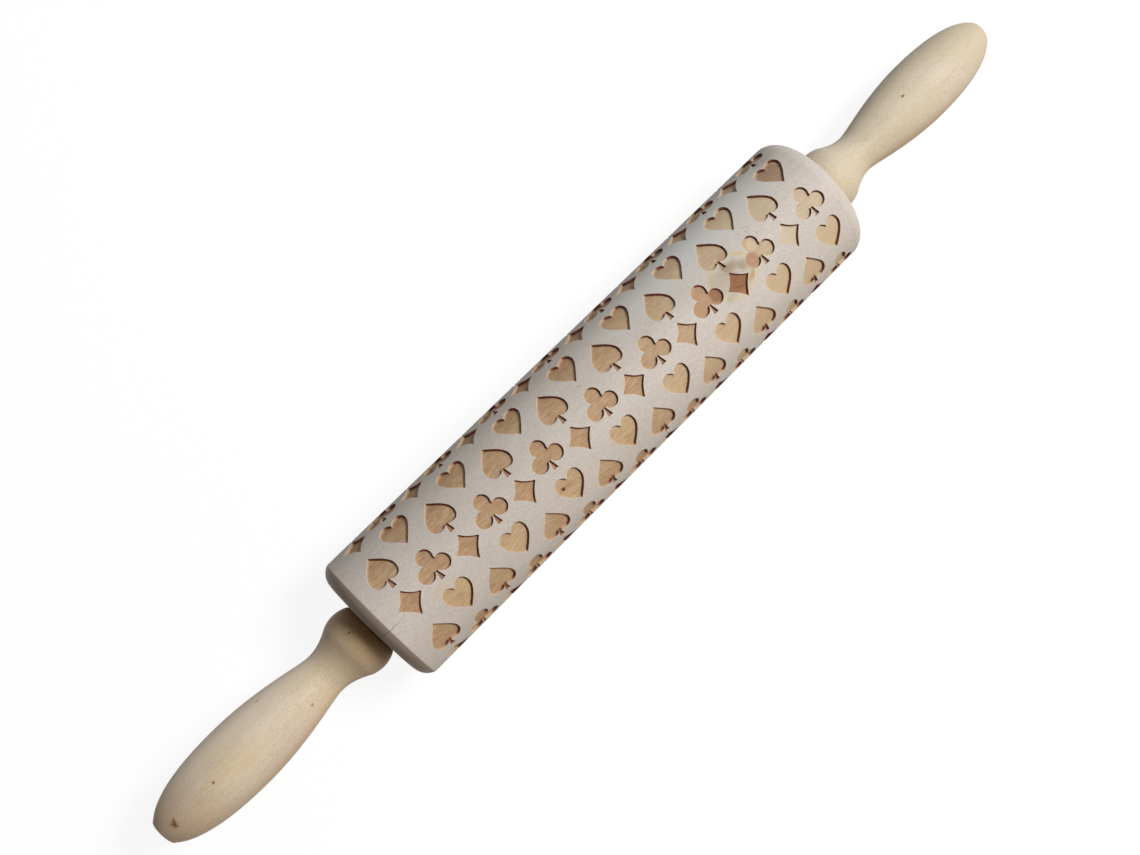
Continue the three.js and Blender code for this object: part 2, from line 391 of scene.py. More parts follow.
suitSettings = {
    # share and place are where a suit's middle lies along and around its cell; a tone of 1 is a yellow
    # floor
    "heart": {"width": 11.2, "height": 12.5, "cleft": 2.3, "share": 0.75, "place": 15.6, "tone": 0.8},
    "spade": {"width": 11.2, "height": 12.4, "cleft": 1.4, "share": 0.25, "place": -12.6, "tone": 0.45},
    "diamond": {"width": 10.3, "above": 5.0, "below": 6.2, "hollow": 0.5,
                "share": 0.25, "place": 3.4, "tone": 0.1},
    "club": {"lobeRadius": 3.0, "lobeSpread": 3.6, "lobeRise": 5.1,
             "share": 0.75, "place": 1.2, "tone": 0.3},
    "stem": {"length": 3.3, "topWidth": 0.5, "footWidth": 1.8},
    "heartShares": {
        "widestUp": 0.72, "lobeTopOut": 0.26, "pointPull": (0.16, 0.2), "flankPullUp": 0.46,
        "shoulderPullUp": 0.9, "shoulderPullOut": 0.4, "lobePullIn": 0.45, "cleftPull": (0.2, 0.45),
    },
    # degrees at a club's side lobe's foot and notch, and at its top lobe's notch and middle
    "clubAngles": (-160, 112, -40, 90),
    "steps": {"flank": 12, "shoulder": 8, "inner": 5, "foot": 2, "stem": 6, "diamondSide": 8,
              "toLobe": 2, "sideLobe": 22, "topLobe": 11},
    # an outline has a corner at its bottom or top where it rises by more than this from there
    "bottomRise": 1e-6, "topRise": 0.3,
    "leastMitre": 0.25,    # keeps a sharp notch from being moved too far
}
# Bits of the points on hard edges: a recess's rim, its wall's foot, a suit's corners, and by turns the
# rings of the barrel's ends
rimBit, footBit, cornerBit, oddRingBit, evenRingBit = 1, 2, 4, 8, 16


def heartHalf(size):
    # a heart on its point: flank, shoulder and the lobe's inner side, as three cubic curves
    shares, steps = pick(suitSettings, "heartShares", "steps")
    width, height = size["width"], size["height"]
    widest = (width / 2, height * shares["widestUp"])
    lobeTop = (width * shares["lobeTopOut"], height)
    pointPull = (width * shares["pointPull"][0], height * shares["pointPull"][1])
    flank = bezier((0, 0), pointPull, (width / 2, height * shares["flankPullUp"]), widest,
                   steps["flank"])
    shoulder = bezier(widest, (width / 2, height * shares["shoulderPullUp"]),
                      (width * shares["shoulderPullOut"], height), lobeTop, steps["shoulder"])
    cleftPull = (lobeTop[0] * shares["cleftPull"][0], height - size["cleft"] * shares["cleftPull"][1])
    inner = bezier(lobeTop, (lobeTop[0] * shares["lobePullIn"], height), cleftPull,
                   (0, height - size["cleft"]), steps["inner"])
    return chain(flank, shoulder, inner)


def stemHalf(top):
    # the foot from its middle, and the straight side up to the given point
    stem, steps = pick(suitSettings, "stem", "steps")
    foot = (stem["footWidth"] / 2, top[1] - stem["length"])
    return [line((0, foot[1]), foot, steps["foot"]), line(foot, top, steps["stem"])]


def heartStretches():
    size = suitSettings["heart"]
    return [heartHalf(size) - (0, size["height"] / 2)]


def spadeStretches():
    # a heart on its head, whose cleft opens into a stem
    size, stem = suitSettings["spade"], suitSettings["stem"]
    body = heartHalf(size)
    body = body[(body[:, 0] >= stem["topWidth"] / 2) | (body[:, 1] < size["height"] / 2)]
    body = np.stack([body[:, 0], size["height"] / 2 - body[:, 1]], 1)[::-1]
    return stemHalf(body[0]) + [body]


def diamondStretches():
    # two sides, each drawn in towards its middle by half a sine wave
    size, steps = suitSettings["diamond"], suitSettings["steps"]["diamondSide"]
    corners = np.array([(0, -size["below"]), (size["width"] / 2, 0), (0, size["above"])])
    stretches = []
    for start, end in zip(corners[:-1], corners[1:]):
        inwards = np.array([start[1] - end[1], end[0] - start[0]]) / np.hypot(*(end - start))
        bow = np.sin(np.linspace(0, np.pi, steps + 1))[:, None] * size["hollow"]
        stretches.append(line(start, end, steps) + inwards * bow)
    return stretches


def clubStretches():
    # a stem, the way out to a side lobe, that lobe and half of the top lobe
    size, angles, steps = pick(suitSettings, "club", "clubAngles", "steps")
    radius = size["lobeRadius"]
    sideFoot, sideNotch, topNotch, topMiddle = angles
    side = arc((size["lobeSpread"], 0), radius, sideFoot, sideNotch, steps["sideLobe"])
    top = arc((0, size["lobeRise"]), radius, topNotch, topMiddle, steps["topLobe"])
    top[0] = side[-1]
    stemTop = (suitSettings["stem"]["topWidth"] / 2, side[0, 1])
    return stemHalf(stemTop) + [line(stemTop, side[0], steps["toLobe"]), side, top]


def wholeOutline(stretches):
    # the right half, then its mirror image walked back; the corners are where the stretches meet
    half = chain(*stretches)
    corner = np.zeros(len(half), bool)
    corner[np.append(0, np.cumsum([len(stretch) - 1 for stretch in stretches]))] = True
    corner[0] = abs(half[1, 1] - half[0, 1]) > suitSettings["bottomRise"]
    corner[-1] = abs(half[-2, 1] - half[-1, 1]) > suitSettings["topRise"]
    return np.concatenate([half, half[-2:0:-1] * (-1, 1)]), np.concatenate([corner, corner[-2:0:-1]])


def besideOutline(outline, distance):
    # the outline moved outwards: each point goes along the sum of its two sides' normals, far enough
    # that both sides move by the distance, and in a sharp notch less far
    side = np.roll(outline, -1, 0) - outline
    normal = np.stack([side[:, 1], -side[:, 0]], 1) / np.hypot(side[:, 0], side[:, 1])[:, None]
    mitre = normal + np.roll(normal, 1, 0)
    share = np.maximum((mitre ** 2).sum(1) / 2, suitSettings["leastMitre"])
    return outline + distance * mitre / share[:, None]


def distanceTo(points, outline):
    # from each point to the nearest place on a closed outline: the foot on each side is held within
    # that side's two ends
    start = outline[None]
    side = (np.roll(outline, -1, 0) - outline)[None]
    offset = points[:, None] - start
    share = np.clip((offset * side).sum(-1) / (side ** 2).sum(-1), 0, 1)[..., None]
    return np.sqrt(((offset - share * side) ** 2).sum(-1)).min(1)


def inside(points, outline):
    # a point is inside where a ray from it crosses the outline an odd number of times
    start, end = outline[None], np.roll(outline, -1, 0)[None]
    x, y = points[:, :1], points[:, 1:]
    spans = (start[..., 1] > y) != (end[..., 1] > y)
    rise = np.where(spans, end[..., 1] - start[..., 1], 1.0)
    crossing = start[..., 0] + (y - start[..., 1]) * (end[..., 0] - start[..., 0]) / rise
    return (spans & (x < crossing)).sum(1) % 2 == 1


def latticePoints(low, high, spacing):
    # rows of points half a step out of line with their neighbours, so that they form equal triangles
    rowGap = spacing * math.sqrt(3) / 2
    y, x = np.meshgrid(np.arange(low[1], high[1], rowGap), np.arange(low[0], high[0], spacing),
                       indexing="ij")
    x[1::2] += spacing / 2
    return np.stack([x, y], -1).reshape(-1, 2)


def triangulate(points, loops, closeness=1e-7):
    # triangles between a plane's points, in which each closed loop of points is kept as edges
    edges = np.concatenate([np.stack([loop, np.roll(loop, -1)], 1) for loop in loops])
    flat = list(map(Vector, points.tolist()))
    made = delaunay_2d_cdt(flat, edges.tolist(), [], 0, closeness, True)
    source = np.array([found[0] for found in made[3]])
    return source[np.array(made[2])]


def cellBorder(settings, rowHeight):
    # the lower side is a wave along x, and the left side a power of a cosine of s; the right and
    # upper sides are the same lines moved on by a cell. Each side is walked without its last point.
    # A point on the right or upper side is its twin on the left or lower side of a later cell.
    pitch, steps, middle, sides = pick(settings, "pitch", "cutSteps", "cutMiddle", "sideSteps")
    x = np.arange(steps) / steps * pitch
    wave = settings["cutWave"] * np.cos(2 * np.pi * (x / pitch - 0.25))
    lower = np.stack([x, middle + wave], 1)
    s = middle + np.arange(sides) / sides * rowHeight
    bump = (0.5 + 0.5 * np.cos(2 * np.pi * (s - suitSettings["club"]["place"]) / rowHeight)) ** 4
    left = np.stack([settings["sideBulge"] * (bump - bump[0]), s], 1)
    across, up = np.array([pitch, 0]), np.array([0, rowHeight])
    border = np.concatenate([lower, left + across, left[:1] + across + up, lower[:0:-1] + up,
                             left[:1] + up, left[:0:-1]])
    cuts, sides, total = len(lower), len(left), len(border)
    leftSide = np.append(0, total - np.arange(1, sides))
    twin = np.concatenate([np.arange(cuts), leftSide, [0], np.arange(cuts - 1, 0, -1),
                           [0], np.arange(total - sides + 1, total)])
    cellsOn = np.repeat([0, 1, 0], [cuts, sides + 1, cuts + sides - 1])
    rowsOn = np.repeat([0, 1, 0], [cuts + sides, cuts + 1, sides - 1])
    return border, leftSide, twin, cellsOn, rowsOn


def patternCell(settings, rowHeight):
    # the plain wood and the floors are triangulated in the cell's plane, and between them each suit's
    # wall is a profile carried along its outline
    own = SimpleNamespace(**settings)
    border, leftSide, twin, cellsOn, rowsOn = cellBorder(settings, rowHeight)
    beside, below = np.array(own.rim).T
    scorchAndShade = np.array(own.scorchShares)[:, None]
    stemShare, leastMargin = own.stemMargin
    fromFacing, toFacing = own.scorchFacing
    stem = suitSettings["stem"]
    nothing = np.zeros(len(border))
    points, depths, scorchAndShadeRows, tones = [border], [nothing], [nothing], [nothing]
    marks, grids, total = [np.zeros(len(border), np.int32)], [], len(border)
    suits = {"spade": spadeStretches, "diamond": diamondStretches,
             "heart": heartStretches, "club": clubStretches}
    for suit, stretches in suits.items():
        outline, corner = wholeOutline(stretches())
        room = np.maximum(stemShare * np.abs(outline[:, :1]), leastMargin)
        rows = np.stack([besideOutline(outline, np.maximum(distance, -room)) for distance in beside])
        middle = (suitSettings[suit]["share"] * own.pitch,
                  suitSettings[suit]["place"] + (0 if suit == "heart" else rowHeight))
        points.append((rows * (1, -1) + middle).reshape(-1, 2))
        grids.append(total + np.arange(rows[..., 0].size).reshape(rows.shape[:2]))
        total += rows[..., 0].size
        depths.append(np.repeat(below, len(outline)))
        # the walls at the right end of a recess, which face away from the key lamp, are darkened by burn
        # and painted shade, by how far their outward normal points along the pin
        facing = (rows[0] - outline)[:, 0] / np.hypot(*(rows[0] - outline).T)
        burntAndShaded = scorchAndShade * np.clip((facing - fromFacing) / (toFacing - fromFacing), 0, 1)
        if suit in ("spade", "club"):
            inStem = np.abs(outline[:, 0]) <= stem["footWidth"] / 2
            inStem &= outline[:, 1] < outline[0, 1] + stem["length"]
            burntAndShaded = np.maximum(burntAndShaded, np.array(own.stemScorch)[:, None] * inStem)
        scorchAndShadeRows.append(burntAndShaded.ravel())
        tones.append(np.full(rows[..., 0].size, suitSettings[suit]["tone"]))
        rowMarks = np.zeros(rows.shape[:2], np.int32)
        rowMarks[0], rowMarks[-2] = rimBit, footBit
        marks.append((rowMarks | np.where(corner, cornerBit, 0)).ravel())
    flat = np.concatenate(points)
    outer = [flat[grid[0]] for grid in grids]
    inner = [flat[grid[-1]] for grid in grids]

    lattice = latticePoints(border.min(0), border.max(0), own.spacing)
    kept = inside(lattice, border) & (distanceTo(lattice, border) > own.borderClearance)
    for rim, floor in zip(outer, inner):
        onWood = ~inside(lattice, rim) & (distanceTo(lattice, rim) > own.clearance)
        onFloor = inside(lattice, floor) & (distanceTo(lattice, floor) > own.clearance)
        kept &= onWood | onFloor
    lattice = lattice[kept]
    onFloor = np.any([inside(lattice, floor) for floor in inner], axis=0)
    flat = np.concatenate([flat, lattice])
    depth = np.concatenate(depths + [onFloor * below[-1]])
    scorchAndShade = np.concatenate(scorchAndShadeRows + [0 * lattice[:, 0]])
    tone = np.concatenate(tones + [sum(inside(lattice, floor) * suitSettings[suit]["tone"]
                                       for suit, floor in zip(suits, inner))])
    marks = np.concatenate(marks + [np.zeros(len(lattice), np.int32)])

    loops = [np.arange(len(border))] + [grid[row] for grid in grids for row in (0, -1)]
    plane = np.concatenate(loops + [np.arange(total, len(flat))])
    place = np.full(len(flat), -1)
    place[plane] = np.arange(len(plane))
    triangles = plane[triangulate(flat[plane], [place[loop] for loop in loops])]
    centre = flat[triangles].mean(1)
    inWall = np.any([inside(centre, rim) & ~inside(centre, floor)
                     for rim, floor in zip(outer, inner)], axis=0)
    triangles = triangles[inside(centre, border) & ~inWall]
    later = np.arange(len(border), len(flat))
    return {
        "flat": flat, "depth": depth, "scorchAndShade": scorchAndShade, "tone": tone, "marks": marks,
        "leftSide": leftSide, "faces": [triangles[:, ::-1]] + [bands(grid)[0] for grid in grids],
        "twin": np.append(twin, later), "cellsOn": np.append(cellsOn, 0 * later),
        "rowsOn": np.append(rowsOn, 0 * later),
    }


barrelSettings = {
    "rounding": 6.7,          # radius of the rounded edge
    # degrees, how sharply it breaks from the straight barrel at the right and left ends
    "creaseAngles": (5, 20),
    "straightSteps": 4,
    "roundingSteps": 12,
    "faceSteps": 3,
    "mouthRadius": 10.8,      # of the bush flange's recess
    "mouthChamfer": 0.35,
    "mouthDepth": 1.9,
    "seatRadius": 7.7,
    "seatDepth": 15.9,
    "boreRadius": 6.5,
    "boreSteps": 8,
}


def endProfile(settings, start, creaseAngle):
    # a right end, from the pattern's edge over the rounding and the face down into the bore:
    # each row is a distance along, a radius, and 1 where the surface has a hard edge
    own = SimpleNamespace(**settings)
    radius, mouth, chamfer, seat, bore = pick(
        settings, "rounding", "mouthRadius", "mouthChamfer", "seatRadius", "boreRadius")
    mouthFloor, seatFloor = barrelEnd - own.mouthDepth, barrelEnd - own.seatDepth
    centre = (barrelEnd - radius, barrelRadius - radius * math.cos(math.radians(creaseAngle)))
    rounding = arc(centre, radius, 90 - creaseAngle, 0, own.roundingSteps)
    straight = line((start, barrelRadius), rounding[0], own.straightSteps)[1:-1]
    face = line(rounding[-1], (barrelEnd, mouth + chamfer), own.faceSteps)[1:]
    inner = [(barrelEnd - chamfer, mouth), (mouthFloor, mouth), (mouthFloor, seat), (seatFloor, seat),
             (seatFloor, bore)]
    hard = np.zeros(len(straight) + len(rounding) + len(face) + len(inner))
    hard[len(straight)] = 1
    hard[-len(inner) - 1:] = 1
    return np.column_stack([np.concatenate([straight, rounding, face, inner]), hard])


def makeBarrel(pattern, settings, material):
    rows, cells = pattern["rows"], pattern["cells"]
    rowHeight = girth / rows
    cell = patternCell(pattern, rowHeight)
    count = len(cell["flat"])

    # every cell is the first one, moved on by whole pitches and rows and creeping around as it goes
    cellNumber = np.arange(cells + 1)[:, None, None]
    rowNumber = np.arange(rows)[:, None]
    start = -cells * pattern["pitch"] / 2
    along = start + cellNumber * pattern["pitch"] + cell["flat"][:, 0] + 0 * rowNumber
    around = cell["flat"][:, 1] + rowNumber * rowHeight + pattern["skew"] * along / pattern["pitch"]
    radius = barrelRadius - cell["depth"] + 0 * along
    faces = []
    for face in cell["faces"]:
        cellPlace = np.arange(cells)[:, None, None, None] + cell["cellsOn"][face]
        rowPlace = (np.arange(rows)[:, None, None] + cell["rowsOn"][face]) % rows
        whole = (cellPlace * rows + rowPlace) * count + cell["twin"][face]
        faces.append(whole.reshape(-1, face.shape[1]))

    # the ends and the bore: one profile carried round, from the pattern's right border to its left one
    right, left = (endProfile(settings, -start, angle) for angle in settings["creaseAngles"])
    bore = line(right[-1] * (1, 1, 0), left[-1] * (-1, 1, 0), settings["boreSteps"])[1:-1]
    profile = np.concatenate([right, bore, left[::-1] * (-1, 1, 1)])
    sideAround = (cell["flat"][cell["leftSide"], 1] + rowNumber * rowHeight).ravel()
    stripAlong, stripRadius = profile[:, :1], profile[:, 1:2]
    stripAround = sideAround + pattern["skew"] * stripAlong / pattern["pitch"]
    columns = len(sideAround)
    borderIndex = (rowNumber * count + cell["leftSide"]).ravel()
    stripIndex = along.size + np.arange(len(profile) * columns).reshape(-1, columns)
    index = np.concatenate([[cells * rows * count + borderIndex], stripIndex, [borderIndex]])
    faces.append(bands(index)[0])
    ringBits = np.where(np.arange(len(profile)) % 2, oddRingBit, evenRingBit)
    ringMarks = np.where(profile[:, 2] > 0, ringBits, 0)

    points = np.concatenate([toSpace(along, around, radius).reshape(-1, 3),
                             toSpace(stripAlong, stripAround, stripRadius).reshape(-1, 3)])
    copies = (cells + 1) * rows
    marks = np.concatenate([np.tile(cell["marks"], copies), np.repeat(ringMarks, columns)])
    plain = np.zeros(len(profile) * columns)
    scorchAndShade, tone = (np.concatenate([np.tile(cell[key], copies), plain]) for key in ("scorchAndShade", "tone"))
    faces, points, marks, scorchAndShade, tone = usedOnly(faces, points, marks, scorchAndShade, tone)
    barrel = makePiece("engravedBarrel", points, faces, "barrel", material,
                       marks=marks, values={"scorchAndShade": scorchAndShade, "tone": tone})
    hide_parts("barrel")
    return barrel


# Handles, measured from the face that runs against the bush

handleLow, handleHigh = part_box("right_handle")
handleSettings = {
    "start": handleLow.x / mm,
    "length": (handleHigh.x - handleLow.x) / mm,
    "columns": 96,
    "collarRadius": 12.9,
    "collarCrown": 6.2,
    "collarRound": 12.0,
    "collarLength": 11.0,
    "collarStep": 0.4,
    "shoulder": 0.7,          # how far along the step is spread
    "neck": (22.0, 8.4),
    "grip": (61.2, 13.3),
    "tipRadius": 5.6,
    "tipDrop": 0.8,
    "socketRadius": 5.3,
    "socketDepth": 42.0,
    "socketChamfer": 0.4,
    "faceChamfer": 0.35,      # between the face and the collar, which has grown by the rise there
    "faceRise": 0.12,
    # how far each curve is pulled, as shares of the stretch between its ends
    "coveShares": (0.28, 0.5, 0.4),
    "swellShares": (0.12, 0.5),
    "taperShares": (0.37, 0.8, 0.9),
    "tipPull": 0.4,
    "steps": (16, 14, 28, 28, 6),   # of collar, cove, swell, taper and tip
    "hardAngle": 32,
}


def handleProfile(settings):
    # socket, collar bulge, cove, swell, taper and rounded tip, as (distance along, radius): the bulge is
    # an arc and the others are cubic curves
    own = SimpleNamespace(**settings)
    crown, collarRadius, collarRound = pick(settings, "collarCrown", "collarRadius", "collarRound")
    length, tipDrop, tipRadius = pick(settings, "length", "tipDrop", "tipRadius")
    collarSteps, coveSteps, swellSteps, taperSteps, tipSteps = own.steps
    ends = [math.degrees(math.asin((along - crown) / collarRound)) for along in (0, own.collarLength)]
    collar = arc((collarRadius - collarRound, crown), collarRound, *ends, collarSteps)[:, ::-1]
    (neckPlace, neckRadius), (gripPlace, gripRadius) = own.neck, own.grip

    coveStart = collar[-1] + (own.shoulder, -own.collarStep)
    startAlong, startIn, endAlong = own.coveShares
    run, drop = neckPlace - coveStart[0], coveStart[1] - neckRadius
    cove = bezier(coveStart, (coveStart[0] + run * startAlong, coveStart[1] - drop * startIn),
                  (neckPlace - run * endAlong, neckRadius), own.neck, coveSteps)
    run = gripPlace - neckPlace
    startAlong, endAlong = own.swellShares
    swell = bezier(own.neck, (neckPlace + run * startAlong, neckRadius),
                   (gripPlace - run * endAlong, gripRadius), own.grip, swellSteps)
    tipPlace = length - tipDrop
    run = tipPlace - gripPlace
    startAlong, endAlong, endOut = own.taperShares
    taper = bezier(own.grip, (gripPlace + run * startAlong, gripRadius),
                   (gripPlace + run * endAlong, gripRadius * endOut), (tipPlace, tipRadius), taperSteps)
    flatRadius, pull = tipRadius - 2 * tipDrop, tipDrop * own.tipPull
    tip = bezier((tipPlace, tipRadius), (length, tipRadius - pull), (length, flatRadius + pull),
                 (length, flatRadius), tipSteps)

    depth, bore, chamfer = pick(settings, "socketDepth", "socketRadius", "socketChamfer")
    faceRadius, faceChamfer = collar[0, 1], own.faceChamfer
    face = [(depth, 0), (depth, bore), (chamfer, bore), (0, bore + chamfer),
            (0, faceRadius - faceChamfer), (faceChamfer, faceRadius + own.faceRise)]
    return np.concatenate([face, collar[2:], [coveStart], cove[1:], swell[1:], taper[1:], tip[1:],
                           [(length, 0)]])


def makeHandles(settings, material):
    profile = handleProfile(settings)
    for name, node, side in (("rightHandle", "right_handle", 1), ("leftHandle", "left_handle", -1)):
        placed = (profile + (settings["start"], 0)) * (side, 1)
        points, faces = revolve(placed[::side], settings["columns"])
        handle = makePiece(name, points, faces, "handle_set", material,
                           settings["hardAngle"])
        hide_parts(node)


# Bushes and axle

bushSettings = {
    "columns": 64, "proud": 0.4, "length": 16.0, "bore": 5.4, "outer": 7.4,
    "flange": 10.5, "flangeThickness": 2.0, "chamfer": 0.3, "hardAngle": 30,
}
axleLow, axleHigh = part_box("axle")
axleSettings = {
    "columns": 48, "end": axleHigh.x / mm, "radius": (axleHigh.z - axleLow.z) / 2 / mm, "chamfer": 1.0,
    "hardAngle": 30,
}


def makeBushes(settings, material):
    # a flanged tube: its section is a closed line with small chamfers at the flange
    face = barrelEnd + settings["proud"]
    back, under = face - settings["length"], face - settings["flangeThickness"]
    bore, outer, flange, chamfer = pick(settings, "bore", "outer", "flange", "chamfer")
    profile = np.array([
        (back, bore), (back, outer - chamfer), (back + chamfer, outer), (under, outer),
        (under, flange - chamfer), (under + chamfer, flange), (face - chamfer, flange),
        (face, flange - chamfer), (face, bore + chamfer), (face - chamfer, bore), (back, bore)])
    for name, node, side in (("rightBush", "right_bush", 1), ("leftBush", "left_bush", -1)):
        points, faces = revolve((profile * (side, 1))[::side], settings["columns"])
        bush = makePiece(name, points, faces, "barrel", material, settings["hardAngle"])
        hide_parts(node)


def makeAxle(settings, material):
    end, radius, chamfer = pick(settings, "end", "radius", "chamfer")
    half = np.array([(end - chamfer, radius), (end, radius - chamfer), (end, 0)])
    points, faces = revolve(np.concatenate([half[::-1] * (-1, 1), half]), settings["columns"])
    axle = makePiece("axleRod", points, faces, "handle_set", material,
                     settings["hardAngle"])
    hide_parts("axle")


# Materials. Their layers of colour follow sources: sockets, kept by name.

unevenSeeds = {"Along": 3.0, "Around": 8.0}
sideBlend = 50.0           # how far either way from the middle the left wood turns into the right


def useSpot(sources, spot):
    # spot holds the values of spotShape, and may leave out the lean
    return useGroup(ovalSpot, Along=sources["unevenAlong"], Around=sources["unevenAround"],
                    **dict(zip(spotShape, spot)))


def paintSpots(colour, sources, spots):
    # each spot is blended over the colour by its own strength
    for spot, strength, spotTint in spots:
        colour = blendColour(times(useSpot(sources, spot)["Mask"], strength), colour, tint(*spotTint))
    return colour


def paintLayers(colour, sources, layers):
    # each tint is blended over the colour by a ramp of what it follows; a list holds the left tint and
    # the right one
    for follows, span, layerTint in layers:
        if isinstance(layerTint, list):
            layerTint = blendColour(sources["side"], *layerTint)
        colour = blendColour(ramp(sources[follows], *span), colour, layerTint)
    return colour


def wandering(coordinates, value, seed, scale, reach):
    # the value moved by up to half the reach either way, so that edges drawn by it are uneven
    shift = noise(coordinates, scale, seed=seed)
    return calc("MULTIPLY_ADD", calc("SUBTRACT", shift, 0.5), reach, value)


def woodSources(coordinates, settings):
    # the place on the pin, true and uneven, the side from 0 at the left to 1 at the right, the wood's
    # figure, and the material's own noises
    place = useGroup(pinPlace, Vector=coordinates)
    figure = useGroup(woodFigure, Vector=coordinates, Seed=settings["seed"])
    sources = {**dict(place.items()), **dict(figure.items())}
    sources["side"] = ramp(place["Along"], -sideBlend, sideBlend, kind="LINEAR")
    for name, reach in zip(unevenSeeds, settings["unevenReach"]):
        sources["uneven" + name] = wandering(
            coordinates, place[name], unevenSeeds[name], settings["unevenScale"], reach)
    for name, values in settings["noises"].items():
        sources[name] = noise(coordinates, *values)
    return sources


def finishSurface(tree, shader, colour, roughness, height, strength, distance):
    # the height tilts the surface as a bump that is the distance high at full strength
    bump = addNode(tree, "Bump", {"Height": height, "Strength": strength, "Distance": distance})
    for name, socket in (("Base Color", colour), ("Roughness", roughness), ("Normal", bump.outputs[0])):
        tree.links.new(socket, shader.inputs[name])


